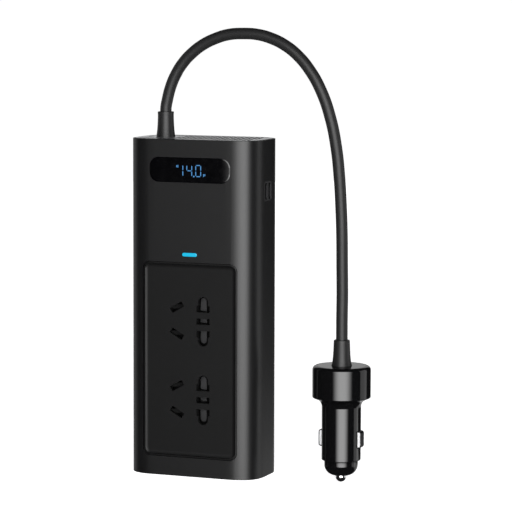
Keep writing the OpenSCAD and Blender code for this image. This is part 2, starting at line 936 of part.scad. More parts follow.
module transformer_core() {
    color("#3a3a3c")
        difference() {
            block([-core_x, core_x], core_y, [core_z - core_h / 2, core_z + core_h / 2]);
            for (s = [-1, 1])
                block([min(s * core_leg, s * window_x), max(s * core_leg, s * window_x)],
                    [core_y[0] - past, core_y[1] + past], [core_z - window_h / 2, core_z + window_h / 2]);
        }
}

module transformer_winding() {
    color("#d9b21f")
        difference() {
            block([-window_x + 0.3, window_x - 0.3], [core_y[0] - 3, main_front],
                [core_z - window_h / 2 + 0.2, core_z + window_h / 2 - 0.2]);
            block([-core_leg - 0.1, core_leg + 0.1], [core_y[0] - 0.1, core_y[1] + 0.1],
                [core_z - window_h, core_z + window_h]);
        }
}

module input_capacitors() {
    color("#1d2f5c")
        for (i = [0:1])
            rod_y(-21.2, main_top - 23 + i * 12, main_front - 16, main_front, 5);
}

module bulk_capacitor() {
    color("#1d2f5c") rod_y(23.2, main_top - 22, main_front - 20, main_front, 7.8);
}

// ---------------------------------------------------------------- fan

module fan_frame() {
    z = fan_top - fan_t;
    color("#232324")
        difference() {
            union() {
                difference() {
                    translate([fan_x, fan_y, z])
                        linear_extrude(fan_t) rounded(fan_w, fan_w, 2);
                    rod_z(fan_x, fan_y, z - past, fan_top + past, fan_duct);
                }
                rod_z(fan_x, fan_y, z, z + 1.2, 5);
                rod_z(fan_x, fan_y, z, z + 6.5, tube_r);
                for (a = [45:90:315])
                    translate([fan_x, fan_y, z]) rotate([0, 0, a]) block([4, 12], [-0.8, 0.8], [0, 1.2]);
            }
            rod_z(fan_x, fan_y, z + 0.5, fan_top, shaft_r + 0.05);
            at_fan_corners() rod_z(0, 0, z - past, fan_top + past, screw_r + 0.05);
        }
}

module fan_rotor() {
    z = fan_top - fan_t;
    hub_top = fan_top - 1.2;
    color("#2e2e30")
        translate([fan_x, fan_y, 0]) {
            difference() {
                rod_z(0, 0, z + 1.8, hub_top, hub_r);
                rod_z(0, 0, z + 1, hub_top - 1.2, hub_r - 0.8);
            }
            rod_z(0, 0, z + 0.8, hub_top - 1, shaft_r);
            intersection() {
                difference() {
                    union()
                        for (a = [0:360 / 7:359])
                            rotate([0, 0, a])
                                translate([hub_r - 0.5, 0, (z + 1.8 + hub_top) / 2])
                                    rotate([38, 0, 0]) block([0, 8], [-0.4, 0.4], [-6, 6]);
                    rod_z(0, 0, z, fan_top, hub_r - 0.4);
                }
                rod_z(0, 0, z + 2.2, hub_top - 0.4, fan_duct - 0.5);
            }
        }
}

module fan_screws() {
    color("#8c8d90")
        translate([0, 0, frame_z + frame_t]) at_fan_corners() flush_screw(10, screw_r, screw_head_r);
}

// ---------------------------------------------------------------- lead

module body_gland() {
    color("#1b1b1d")
        translate([gland_x, 0, 0])
            rotate_extrude()
                polygon([
                    [0, frame_z - gland_tail], [gland_body_r, frame_z - gland_tail],
                    [gland_body_r, body_h + grille_proud],
                    [5.15, body_h + grille_proud], [4.95, body_h + 1.4], [4.62, body_h + 3.6],
                    [4.42, body_h + 7], [4.28, gland_top - 0.3], [3.98, gland_top], [0, gland_top]
                ]);
}

module gland_nut() {
    color("#2a2a2c")
        difference() {
            rod_z(gland_x, 0, frame_z - 3, frame_z, 6.6);
            rod_z(gland_x, 0, frame_z - 3 - past, frame_z + past, gland_body_r + 0.05);
        }
}

module input_wires() {
    wire_r = 0.9;
    bend_z = main_top - 2;
    for (s = [-1, 1])
        color(s < 0 ? "#b3261e" : "#151515")
            translate([gland_x + s * 1.6, 0, 0]) {
                rod_z(0, 0, bend_z, frame_z - gland_tail, wire_r);
                translate([0, 0, bend_z]) sphere(r = wire_r);
                rod_y(0, bend_z, 0, main_front, wire_r);
            }
}

module cord() {
    color("#262628") swept_tube(cord_points, cord_d / 2, cord_sides);
}

// ---------------------------------------------------------------- lighter plug

module turned(profile) {
    translate([plug_x, plug_y, 0]) rotate_extrude() polygon(profile);
}

module plug_strain_relief() {
    color("#1b1b1d")
        turned([
            [0, collar_top], [5.2, collar_top], [4.9, collar_top + 1.6], [4.45, collar_top + 6],
            [4.15, plug_relief_top - 0.3], [3.85, plug_relief_top], [0, plug_relief_top]
        ]);
}

module plug_collar() {
    color("#0d0d0f")
        turned([
            [0, collar_top - 2], [collar_r - collar_wall, collar_top - 2],
            [collar_r - collar_wall, collar_z + 2], [barrel_r, collar_z + 2], [barrel_r, taper_z],
            [barrel_r + 0.3, collar_z - 4.2], [barrel_r + 1.3, collar_z - 2.4],
            [barrel_r + 2.6, collar_z - 1.3], [collar_r - 0.5, collar_z], [collar_r, collar_z + 0.7],
            [collar_r, collar_top - 2.2], [collar_r - 0.6, collar_top - 0.7],
            [collar_r - 1.9, collar_top], [0, collar_top]
        ]);
}

module side_window(y_room, z_room) {
    for (s = [-1, 1])
        block([min(0, s * (barrel_r + past)), max(0, s * (barrel_r + past))],
            [-contact_w / 2 - y_room, contact_w / 2 + y_room],
            [contact_z - contact_base - z_room, contact_z + contact_base + z_room]);
}

module plug_barrel() {
    color("#0d0d0f")
        translate([plug_x, plug_y, 0])
            difference() {
                rotate_extrude()
                    polygon([
                        [barrel_bore, barrel_z], [barrel_r - 0.5, barrel_z], [barrel_r - 0.1, barrel_z + 0.4],
                        [barrel_r - 0.01, taper_z], [barrel_r - 0.01, shoulder_z], [barrel_bore, shoulder_z]
                    ]);
                side_window(slide, slide);
            }
}

module plug_nose() {
    dome = nose_r - tip_r - 0.25;
    color("#0a0a0c")
        turned(concat(
            [[tip_r + 0.05, nose_z]],
            [for (a = [0:11.25:90]) [nose_r - dome + dome * sin(a), nose_z + dome - dome * cos(a)]],
            [
                [nose_r, barrel_z], [barrel_bore - 0.05, barrel_z], [barrel_bore - 0.05, barrel_z + 4],
                [fuse_r + 1.4, barrel_z + 4], [fuse_r + 1.4, tip_flange_z - 0.6],
                [tip_r + 0.05, tip_flange_z - 0.6]
            ]
        ));
}

module tip_contact() {
    color("#c9cacc")
        turned(concat(
            [[0, tip_z]],
            [for (i = [1:8]) [tip_r * sin(90 * i / 8), tip_z + tip_r - tip_r * cos(90 * i / 8)]],
            [
                [tip_r, tip_flange_z - 0.3], [fuse_r + 0.6, tip_flange_z - 0.3], [fuse_r + 0.6, fuse_z],
                [0, fuse_z]
            ]
        ));
}

module plug_fuse() {
    cap_l = 5;
    color("#cfd6da")
        turned([
            [0, fuse_z], [fuse_r, fuse_z], [fuse_r, fuse_z + cap_l], [fuse_r - 0.3, fuse_z + cap_l],
            [fuse_r - 0.3, fuse_z + fuse_l - cap_l], [fuse_r, fuse_z + fuse_l - cap_l],
            [fuse_r, fuse_z + fuse_l], [0, fuse_z + fuse_l]
        ]);
}

module tip_spring() {
    color("#b9bbbe")
        translate([plug_x, plug_y, fuse_z + fuse_l])
            coil(2.6, 0.35, 6, collar_top - 2 - fuse_z - fuse_l);
}

// A bent strap with its outer face beyond the barrel and a foot that stays inside it
module side_contact(s) {
    out = barrel_r + contact_proud;
    foot = barrel_bore - 0.6;
    strap = 0.5;
    inside_x = foot - 1.2;
    color("#d4d5d7")
        translate([plug_x, plug_y, contact_z])
            mirror([s < 0 ? 1 : 0, 0, 0])
                front_prism(-contact_w / 2, contact_w / 2)
                    difference() {
                        polygon([
                            [inside_x, -5.6], [foot, -5.6], [foot, -4.6], [barrel_r, -4.4], [out - 0.5, -3.9],
                            [out, -3.1], [out, 3.1], [out - 0.5, 3.9], [barrel_r, 4.4], [foot, 4.6],
                            [foot, 5.6], [inside_x, 5.6]
                        ]);
                        polygon([
                            [inside_x + strap, -4.1], [barrel_r, -3.9], [out - 0.9, -3.4],
                            [out - strap, -2.8], [out - strap, 2.8], [out - 0.9, 3.4], [barrel_r, 3.9],
                            [inside_x + strap, 4.1]
                        ]);
                    }
}

module left_side_contact() { side_contact(-1); }
module right_side_contact() { side_contact(1); }

// ---------------------------------------------------------------- nodes

outer_sleeve();
bottom_cap();
bottom_screws();
top_frame();
top_screws();
top_grille();
display_window();
display_digits();
digit_module();
display_board();
led_light_pipe();
led_board();
socket_panel();
socket_block();
socket_screws();
socket_back_cover();
live_contacts();
neutral_contacts();
earth_contacts();
upper_slot_shutter();
upper_hole_shutter();
lower_slot_shutter();
lower_hole_shutter();
upper_slot_spring();
upper_hole_spring();
lower_slot_spring();
lower_hole_spring();
port_surround();
port_shells();
port_tongues();
port_board();
main_board();
board_screws();
heat_sink();
power_transistors();
control_chips();
filter_choke();
transformer_core();
transformer_winding();
input_capacitors();
bulk_capacitor();
fan_frame();
fan_rotor();
fan_screws();
body_gland();
gland_nut();
input_wires();
cord();
plug_strain_relief();
plug_collar();
plug_barrel();
plug_nose();
tip_contact();
plug_fuse();
tip_spring();
left_side_contact();
right_side_contact();
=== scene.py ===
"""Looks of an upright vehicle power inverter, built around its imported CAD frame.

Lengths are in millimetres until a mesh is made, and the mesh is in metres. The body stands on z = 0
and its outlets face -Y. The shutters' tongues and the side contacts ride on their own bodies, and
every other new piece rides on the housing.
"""

import json
import math

import bmesh
import bpy
from mathutils import Matrix, Vector


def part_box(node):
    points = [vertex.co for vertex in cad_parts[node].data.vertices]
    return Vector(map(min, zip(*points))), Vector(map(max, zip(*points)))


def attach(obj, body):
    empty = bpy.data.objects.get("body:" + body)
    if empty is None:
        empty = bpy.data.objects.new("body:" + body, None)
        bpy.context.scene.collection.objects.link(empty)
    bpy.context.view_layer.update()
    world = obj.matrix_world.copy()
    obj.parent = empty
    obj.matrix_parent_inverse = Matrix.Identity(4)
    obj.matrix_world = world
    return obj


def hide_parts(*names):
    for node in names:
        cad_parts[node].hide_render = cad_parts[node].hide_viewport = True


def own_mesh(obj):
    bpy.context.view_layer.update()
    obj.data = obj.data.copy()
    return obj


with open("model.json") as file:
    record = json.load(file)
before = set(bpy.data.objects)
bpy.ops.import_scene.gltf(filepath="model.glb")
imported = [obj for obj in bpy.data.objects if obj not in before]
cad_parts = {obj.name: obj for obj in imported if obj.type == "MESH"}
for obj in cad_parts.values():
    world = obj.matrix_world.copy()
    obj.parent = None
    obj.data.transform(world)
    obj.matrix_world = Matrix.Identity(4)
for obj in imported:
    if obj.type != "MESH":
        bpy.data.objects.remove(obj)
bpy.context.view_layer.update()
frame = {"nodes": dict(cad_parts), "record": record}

MM = 0.001
ROOT = "housing"
BODY_OF = {node: body for body, nodes in frame["record"]["behaviour"]["bodies"].items() for node in nodes}


def mm_box(node):
    """Lowest and highest corner of a CAD node, in millimetres."""
    low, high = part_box(node)
    return [c / MM for c in low], [c / MM for c in high]


def add_object(name, data):
    """A new object in the scene that shows data."""
    obj = bpy.data.objects.new(name, data)
    bpy.context.scene.collection.objects.link(obj)
    return obj


# ------------------------------------------------------------------ camera and lead

YAW, PITCH, ROLL = math.radians(21.475), math.radians(5.95), math.radians(0.178)
DISTANCE = 1.37538
AIM = Vector((0.02537, 0.00998, 0.11412))
LENS = 184.33


def add_camera():
    right = Vector((math.cos(YAW), math.sin(YAW), 0))
    ahead = Vector((-math.sin(YAW) * math.cos(PITCH), math.cos(YAW) * math.cos(PITCH), -math.sin(PITCH)))
    up = right.cross(ahead)
    turned_right = right * math.cos(ROLL) + up * math.sin(ROLL)
    turned_up = up * math.cos(ROLL) - right * math.sin(ROLL)
    data = bpy.data.cameras.new("camera")
    data.lens, data.sensor_width = LENS, 36
    data.clip_end = 200
    camera = add_object("camera", data)
    axes = Matrix((turned_right, turned_up, -ahead)).transposed()
    camera.matrix_world = Matrix.Translation(AIM - ahead * DISTANCE) @ axes.to_4x4()
    bpy.context.scene.camera = camera


LEAD_ROUTE = [
    (-21.8, 0, 189.4), (-21.7, 0, 191.6), (-20.9, 0, 195.6), (-19.1, -0.1, 202), (-16.2, -0.2, 208.5),
    (-12, -0.3, 214.8), (-6.6, -0.5, 220.2), (-0.4, -0.7, 224.6), (6.5, -1, 227.8), (14.2, -1.2, 230),
    (22.4, -1.5, 230.6), (30.4, -1.8, 230.2), (38.2, -2, 228.3), (45.6, -2.3, 225), (52.6, -2.5, 220),
    (59.5, -2.8, 212.5), (65.9, -3, 202), (71.2, -3.2, 188), (74.5, -3.3, 173), (76.3, -3.4, 158),
    (77.3, -3.4, 143), (77.9, -3.4, 128), (78.1, -3.4, 113), (78.3, -3.4, 98), (78.2, -3.4, 86),
    (78.2, -3.4, 74.2),
]
LEAD_DIAMETER = 0.006

add_camera()


# ------------------------------------------------------------------ materials


class Shader:
    """A Principled material with a few helpers to wire noise, bump and roughness into it."""

    def __init__(self, name, colour, roughness, metallic=0.0, specular=0.5):
        self.material = bpy.data.materials.new(name)
        self.material.use_nodes = True
        self.tree = self.material.node_tree
        self.bsdf = self.tree.nodes["Principled BSDF"]
        self.set("Base Color", (*colour, 1))
        self.set("Roughness", roughness)
        self.set("Metallic", metallic)
        self.set("Specular IOR Level", specular)
        self.place = self.tree.nodes.new("ShaderNodeTexCoord").outputs["Object"]
        self.normal = None

    def set(self, socket, value):
        self.bsdf.inputs[socket].default_value = value

    def link(self, a, b):
        self.tree.links.new(a, b)

    def noise(self, scale, detail=2.0, stretch=(1, 1, 1), roughness=0.5):
        mapping = self.tree.nodes.new("ShaderNodeMapping")
        mapping.inputs["Scale"].default_value = stretch
        self.link(self.place, mapping.inputs["Vector"])
        node = self.tree.nodes.new("ShaderNodeTexNoise")
        node.inputs["Scale"].default_value = scale
        node.inputs["Detail"].default_value = detail
        node.inputs["Roughness"].default_value = roughness
        self.link(mapping.outputs["Vector"], node.inputs["Vector"])
        return node.outputs["Fac"]

    def spread(self, value, low, high):
        node = self.tree.nodes.new("ShaderNodeMapRange")
        node.inputs["From Min"].default_value = 0.3
        node.inputs["From Max"].default_value = 0.7
        node.inputs["To Min"].default_value = low
        node.inputs["To Max"].default_value = high
        self.link(value, node.inputs["Value"])
        return node.outputs["Result"]

    def vary_roughness(self, value, low, high):
        self.link(self.spread(value, low, high), self.bsdf.inputs["Roughness"])

    def vary_colour(self, value, first, second):
        node = self.tree.nodes.new("ShaderNodeMix")
        node.data_type = "RGBA"
        node.inputs["A"].default_value = (*first, 1)
        node.inputs["B"].default_value = (*second, 1)
        self.link(self.spread(value, 0, 1), node.inputs["Factor"])
        self.link(node.outputs["Result"], self.bsdf.inputs["Base Color"])

    def bump(self, value, strength, depth_mm):
        node = self.tree.nodes.new("ShaderNodeBump")
        node.inputs["Strength"].default_value = strength
        node.inputs["Distance"].default_value = depth_mm * MM
        self.link(value, node.inputs["Height"])
        if self.normal:
            self.link(self.normal, node.inputs["Normal"])
        self.normal = node.outputs["Normal"]
        self.link(self.normal, self.bsdf.inputs["Normal"])


def moulded(name, colour, roughness, specular=0.5, grain=2600, grain_bump=0.12, grain_depth=0.02):
    """Fine-grained moulded plastic, slightly uneven in shade and gloss."""
    s = Shader(name, colour, roughness, specular=specular)
    fine = s.noise(grain, 2)
    broad = s.noise(60, 3)
    s.vary_colour(broad, [c * 0.93 for c in colour], [c * 1.07 for c in colour])
    s.vary_roughness(fine, roughness - 0.03, roughness + 0.03)
    s.bump(fine, grain_bump, grain_depth)
    return s


def polished(name, colour, roughness=0.06, specular=0.5):
    """High-gloss plastic with a faint waviness from moulding."""
    s = Shader(name, colour, roughness, specular=specular)
    s.vary_roughness(s.noise(300, 3), roughness * 0.8, roughness * 1.25)
    s.bump(s.noise(45, 1), 0.05, 0.02)
    return s


def metal(name, colour, roughness, brush=(1, 1, 1), bump=0.1):
    """Metal with fine marks that run along the axis whose brush value is lowest."""
    s = Shader(name, colour, roughness, metallic=1.0)
    marks = s.noise(1800, 3, brush)
    s.vary_roughness(marks, roughness * 0.85, roughness * 1.2)
    s.vary_colour(s.noise(200, 2), [c * 0.95 for c in colour], [min(1, c * 1.04) for c in colour])
    s.bump(marks, bump, 0.01)
    return s


def metal_with_shaded_openings():
    """Bright brushed metal on the faces that look up, and near-black painted shade on the walls inside the
    openings.
    """
    # Painted shade: every face that does not look up gets the near-black colour, so the openings read as
    # shaded.
    bright, opening_shade = (0.82, 0.83, 0.85), (0.012, 0.012, 0.013)
    s = metal("grille_aluminium", bright, 0.28, (1, 0.2, 1))
    facing = s.tree.nodes.new("ShaderNodeSeparateXYZ")
    s.link(s.tree.nodes.new("ShaderNodeNewGeometry").outputs["True Normal"], facing.inputs[0])
    upward = s.tree.nodes.new("ShaderNodeMath")
    upward.operation = "GREATER_THAN"
    upward.inputs[1].default_value = 0.75
    s.link(facing.outputs["Z"], upward.inputs[0])
    mix = s.tree.nodes.new("ShaderNodeMix")
    mix.data_type = "RGBA"
    mix.inputs["A"].default_value = (*opening_shade, 1)
    s.link(s.bsdf.inputs["Base Color"].links[0].from_socket, mix.inputs["B"])
    s.link(upward.outputs["Value"], mix.inputs["Factor"])
    s.link(mix.outputs["Result"], s.bsdf.inputs["Base Color"])
    return s


def glowing(name, colour, strength, base):
    """Lit plastic. The glow is the same all over, so it is set on the sockets."""
    s = Shader(name, base, 0.3)
    s.vary_roughness(s.noise(900, 2), 0.25, 0.35)
    s.set("Emission Color", (*colour, 1))
    s.set("Emission Strength", strength)
    return s


def circuit_board():
    s = Shader("circuit_board", (0.015, 0.12, 0.05), 0.3)
    s.vary_colour(s.noise(420, 4, (1, 1, 1), 0.7), (0.01, 0.09, 0.035), (0.03, 0.2, 0.08))
    s.bump(s.noise(900, 2), 0.2, 0.03)
    return s


MATERIALS = {
    "sleeve": moulded("sleeve_plastic", (0.0028, 0.0028, 0.003), 0.36, 0.4),
    "panel": moulded("panel_plastic", (0.0028, 0.0028, 0.0029), 0.42, 0.2, grain=2200),
    "frame_plastic": moulded("frame_plastic", (0.012, 0.012, 0.0125), 0.45, 0.4),
    "grille": metal_with_shaded_openings(),
    "window": polished("window_acrylic", (0.0006, 0.0006, 0.0008), 0.14),
    "digits": glowing("lit_digits", (0.09, 0.33, 0.70), 0.9, (0.002, 0.004, 0.008)),
    "light_pipe": glowing("lit_bar", (0.0, 0.56, 0.88), 0.86, (0.004, 0.02, 0.03)),
    "led_module": moulded("reflector_plastic", (0.7, 0.7, 0.7), 0.5),
    "circuit_board": circuit_board(),
    "dark_steel": metal("blackened_steel", (0.035, 0.035, 0.037), 0.4),
    "steel": metal("plated_steel", (0.55, 0.55, 0.56), 0.3),
    # Painted shade: the insulator is near-black so the insides of the outlet openings read as shaded.
    "insulator": moulded("insulator_painted_shade", (0.006, 0.006, 0.006), 0.5, 0.2),
    "brass": metal("stamped_brass", (0.75, 0.54, 0.24), 0.3, (0.2, 1, 1)),
    # Painted shade: near-black, low-gloss shutters so the slots, holes and port openings read as shaded.
    "shutter_dark": moulded("shutter_black_shade", (0.002, 0.002, 0.002), 0.6, 0.05),
    # Painted highlight: the tongues' lighter grey stands for the lit ramps of the otherwise near-black
    # shutters.
    "shutter_grey": moulded("shutter_grey_highlight", (0.03, 0.03, 0.031), 0.45, 0.4),
    "spring_steel": metal("spring_wire", (0.6, 0.6, 0.61), 0.25),
    "heat_sink": metal("extruded_aluminium", (0.6, 0.61, 0.63), 0.4, (1, 1, 0.1)),
    "chip": moulded("moulded_package", (0.012, 0.012, 0.013), 0.55),
    "copper": metal("enamelled_copper", (0.5, 0.17, 0.06), 0.25, (1, 0.1, 1)),
    "ferrite": moulded("sintered_ferrite", (0.03, 0.03, 0.032), 0.6, grain=900, grain_bump=0.4),
    "winding_tape": moulded("polyester_tape", (0.65, 0.42, 0.03), 0.25, grain=300),
    "capacitor": moulded("capacitor_sleeve", (0.012, 0.03, 0.12), 0.25),
    "strain_relief": moulded("relief_rubber", (0.009, 0.009, 0.0092), 0.4, 0.3, grain=1800),
    "lead": moulded("lead_jacket", (0.009, 0.009, 0.0092), 0.42, 0.28, grain=1500),
    "wire": moulded("wire_insulation", (0.25, 0.015, 0.012), 0.4),
    "plug_gloss": polished("plug_plastic", (0.002, 0.002, 0.0022), 0.07),
    "nickel_painted_highlight": metal("nickel_plate_lit_face", (0.8, 0.8, 0.81), 0.5, bump=0.05),
    "nickel": metal("nickel_plate", (0.8, 0.8, 0.81), 0.16, bump=0.05),
    "fuse_glass": polished("fuse_body", (0.7, 0.74, 0.76), 0.1),
}


def paint(obj, slot):
    """Gives a new piece, or a CAD node, one of the materials above."""
    obj.data.materials.clear()
    obj.data.materials.append(MATERIALS[slot].material)


# ------------------------------------------------------------------ mesh helpers


def settle(name, mesh, slot, replaces=(), body=ROOT):
    """Makes mesh a shown piece that rides on body and stands for the CAD nodes named."""
    obj = add_object(name, mesh)
    paint(obj, slot)
    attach(obj, body)
    if replaces:
        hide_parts(*replaces)
    return obj


def mesh_of(points, faces):
    """A mesh in metres from points in millimetres, with its normals turned outwards."""
    mesh = bpy.data.meshes.new("mesh")
    mesh.from_pydata([Vector(p) * MM for p in points], [], faces)
    work = bmesh.new()
    work.from_mesh(mesh)
    bmesh.ops.recalc_face_normals(work, faces=work.faces)
    work.to_mesh(mesh)
    work.free()
    return mesh


def rounded_outline(w, h, r, steps=14):
    """Points round a w by h rectangle with corner radius r, about its middle."""
    points = []
    for turn, (sx, sy) in enumerate([(1, 1), (-1, 1), (-1, -1), (1, -1)]):
        for i in range(steps + 1):
            a = math.radians(90 * (turn + i / steps))
            points.append((sx * (w / 2 - r) + r * math.cos(a), sy * (h / 2 - r) + r * math.sin(a)))
    return points


def inset_outline(w, h, r, inset, steps=14):
    return rounded_outline(w - 2 * inset, h - 2 * inset, max(r - inset, 0.05), steps)


def skin(loops, closed=False):
    """Faces between loops of equal length: joined end to end if closed, else capped."""
    n = len(loops[0])
    points = [p for loop in loops for p in loop]
    pairs = range(len(loops) if closed else len(loops) - 1)
    faces = []
    for i in pairs:
        a, b = i * n, (i + 1) % len(loops) * n
        faces += [(a + j, a + (j + 1) % n, b + (j + 1) % n, b + j) for j in range(n)]
    if not closed:
        faces.append(tuple(reversed(range(n))))
        faces.append(tuple(range((len(loops) - 1) * n, len(loops) * n)))
    return mesh_of(points, faces)


def lathe(profile, centre, steps=96):
    """Turns a profile of (radius, z) about the upright axis through centre."""
    points, rows, faces = [], [], []
    for r, z in profile:
        if r < 1e-6:
            rows.append([len(points)] * steps)
            points.append((centre[0], centre[1], z))
        else:
            rows.append(list(range(len(points), len(points) + steps)))
            points += [
                (centre[0] + r * math.cos(2 * math.pi * j / steps),
                 centre[1] + r * math.sin(2 * math.pi * j / steps), z)
                for j in range(steps)
            ]
    for low, high in zip(rows, rows[1:]):
        for j in range(steps):
            k = (j + 1) % steps
            face = tuple(dict.fromkeys((low[j], low[k], high[k], high[j])))
            if len(face) > 2:
                faces.append(face)
    return mesh_of(points, faces)


def arc(cx, cz, r, start, end, steps=8):
    """Profile points on an arc, with angles in degrees from the outward direction."""
    return [
        (cx + r * math.cos(math.radians(start + (end - start) * i / steps)),
         cz + r * math.sin(math.radians(start + (end - start) * i / steps)))
        for i in range(steps + 1)
    ]


def front_prism(outline, y0, y1, x=0, z=0):
    """A prism whose outline is in X and Z, about (x, z), from depth y0 to y1."""
    return skin([[(px + x, y, pz + z) for px, pz in outline] for y in (y0, y1)])


def side_prism(outline, x0, x1, y=0, z=0):
    return skin([[(x, py + y, pz + z) for py, pz in outline] for x in (x0, x1)])


def apply_modifiers(obj):
    graph = bpy.context.evaluated_depsgraph_get()
    mesh = bpy.data.meshes.new_from_object(obj.evaluated_get(graph))
    obj.modifiers.clear()
    obj.data = mesh


def cut(obj, meshes):
    """Takes each mesh away from obj."""
    cutters = []
    for mesh in meshes:
        cutter = add_object("cutter", mesh)
        cutters.append(cutter)
        modifier = obj.modifiers.new("cut", "BOOLEAN")
        modifier.operation = "DIFFERENCE"
        modifier.solver = "EXACT"
        modifier.object = cutter
    bpy.context.view_layer.update()
    apply_modifiers(obj)
    for cutter in cutters:
        bpy.data.objects.remove(cutter)


def soften(obj, width, angle=35, segments=3):
    """Rounds the edges that turn more than angle, and shades what is left smoothly."""
    bevel = obj.modifiers.new("soft_edges", "BEVEL")
    bevel.width = width * MM
    bevel.segments = segments
    bevel.limit_method = "ANGLE"
    bevel.angle_limit = math.radians(angle)
    bevel.use_clamp_overlap = True
    bevel.miter_outer = "MITER_ARC"
    apply_modifiers(obj)
    smooth(obj, 50)


def smooth(obj, angle=30):
    """Smooth shading that breaks at edges sharper than angle, and stays flat on flat faces."""
    obj.data.shade_smooth()
    obj.data.set_sharp_from_angle(angle=math.radians(angle))
    weighted = obj.modifiers.new("flat_faces_first", "WEIGHTED_NORMAL")
    weighted.keep_sharp = True


# ------------------------------------------------------------------ body sizes, from the frame

sleeve_low, sleeve_high = mm_box("outer_sleeve")
BODY_W = sleeve_high[0] - sleeve_low[0]
BODY_T = sleeve_high[1] - sleeve_low[1]
BODY_H = sleeve_high[2]
FRONT = sleeve_low[1]
SIDE = sleeve_high[0]
CORNER_R = 16.4
CORNER_POWER = 2.8
WALL = 2
RABBET = 0.9
GRILLE_BED = mm_box("top_grille")[0][2]


def node_outline(node, axis):
    """Width, height and middle of a CAD node seen along an axis, 1 for the front and 0 for the side."""
    low, high = mm_box(node)
    across = 0 if axis == 1 else 1
    return (
        high[across] - low[across], high[2] - low[2],
        (high[across] + low[across]) / 2, (high[2] + low[2]) / 2,
    )


WINDOW_W, WINDOW_H, WINDOW_R = 45, 12.9, 5
WINDOW_Z = node_outline("display_window", 1)[3]
LED_W, LED_H = 8.2, 1.8
LED_Z = node_outline("led_light_pipe", 1)[3]
PANEL_W, PANEL_R = 53, 4
PANEL_BACK = FRONT + 2.9
PANEL_H = 102.4
PANEL_Z = node_outline("socket_panel", 1)[3]
PORT_Y, PORT_Z = node_outline("port_surround", 0)[2:]
PORT_W, PORT_H, PORT_R = 10.6, 10.2, 1.6
GAP = 0.14


def blend_point(angle):
    """Point of the blended corner of radius 1 where its normal is at angle, in degrees."""
    if angle > 45:
        y, x = blend_point(90 - angle)
        return x, y
    q = math.tan(math.radians(angle)) ** (1 / (CORNER_POWER - 1))
    x = (1 + q ** CORNER_POWER) ** (-1 / CORNER_POWER)
    return x, q * x


def body_outline(inset, steps=30):
    """The body's cross-section moved inwards by inset: flat faces joined by blended corners."""
    r, points = CORNER_R - inset, []
    for sx, sy, turn in ((1, 1, 0), (-1, 1, 1), (-1, -1, 2), (1, -1, 3)):
        for i in range(steps + 1):
            x, y = blend_point(90 * i / steps)
            for _ in range(turn):
                x, y = -y, x
            points.append((sx * (BODY_W / 2 - CORNER_R) + r * x, sy * (BODY_T / 2 - CORNER_R) + r * y))
    return points


def set_back(x):
    """How far the body's front lies behind its flat middle at x."""
    u = max(0, abs(x) - BODY_W / 2 + CORNER_R) / CORNER_R
    return CORNER_R * (1 - (1 - u ** CORNER_POWER) ** (1 / CORNER_POWER))


def make_sleeve():
    """The rounded shell, with its openings cut and every edge softened."""
    path = [
        (0, 0), (0, BODY_H), (RABBET, BODY_H), (RABBET, GRILLE_BED - 0.1),
        (WALL, GRILLE_BED - 0.1), (WALL, 0),
    ]
    loops = [[(x, y, z) for x, y in body_outline(inset)] for inset, z in path]
    obj = settle("sleeve", skin(loops, closed=True), "sleeve", ["outer_sleeve"])
    cutters = []
    for w, h, r, z in (
        (WINDOW_W, WINDOW_H, WINDOW_R, WINDOW_Z), (LED_W, LED_H, LED_H / 2 - 0.01, LED_Z),
        (PANEL_W, PANEL_H, PANEL_R, PANEL_Z),
    ):
        outline = rounded_outline(w + GAP, h + GAP, r + GAP / 2)
        cutters.append(front_prism(outline, FRONT - 3, FRONT + WALL + 2, z=z))
    outline = rounded_outline(PORT_W + GAP, PORT_H + GAP, PORT_R)
    cutters.append(side_prism(outline, SIDE - WALL - 2, SIDE + 3, PORT_Y, PORT_Z))
    cut(obj, cutters)
    soften(obj, 0.2)


# ------------------------------------------------------------------ outlet panel

SLOT_X, SLOT_Z, SLOT_TILT, SLOT_L, SLOT_W = 7.4, 6.95, 30, 7.6, 3
HOLE_X, HOLE_START, HOLE_BASE_W, HOLE_BASE_H = 7.25, 4.8, 7.4, 3.5
ARCH_R, ARCH_Z, EARTH_H = 2.8, 10.2, 3.2
OUTLET_OFFSET = 20.6
OUTLETS = [PANEL_Z + OUTLET_OFFSET, PANEL_Z - OUTLET_OFFSET]
PANEL_FACE = FRONT + 0.1


def tilted_slot(sign):
    """Corners of a slanted blade slot, rounded a little, about the middle of its outlet."""
    a = math.radians(sign * SLOT_TILT)
    return [
        (-SLOT_X + x * math.cos(a) - y * math.sin(a), sign * SLOT_Z + x * math.sin(a) + y * math.cos(a))
        for x, y in rounded_outline(SLOT_L, SLOT_W, 0.25, 3)
    ]


def pin_hole(sign):
    """Outline of a hole for a flat or a round pin: a wide base with an arch beyond it."""
    half, shelf = HOLE_BASE_W / 2, HOLE_START + HOLE_BASE_H
    shape = [(-half, HOLE_START), (half, HOLE_START), (half, shelf), (ARCH_R, shelf)]
    shape += arc(0, ARCH_Z, ARCH_R, 0, 180, 16)
    shape += [(-ARCH_R, shelf), (-half, shelf)]
    return [(HOLE_X + x, sign * z) for x, z in shape]


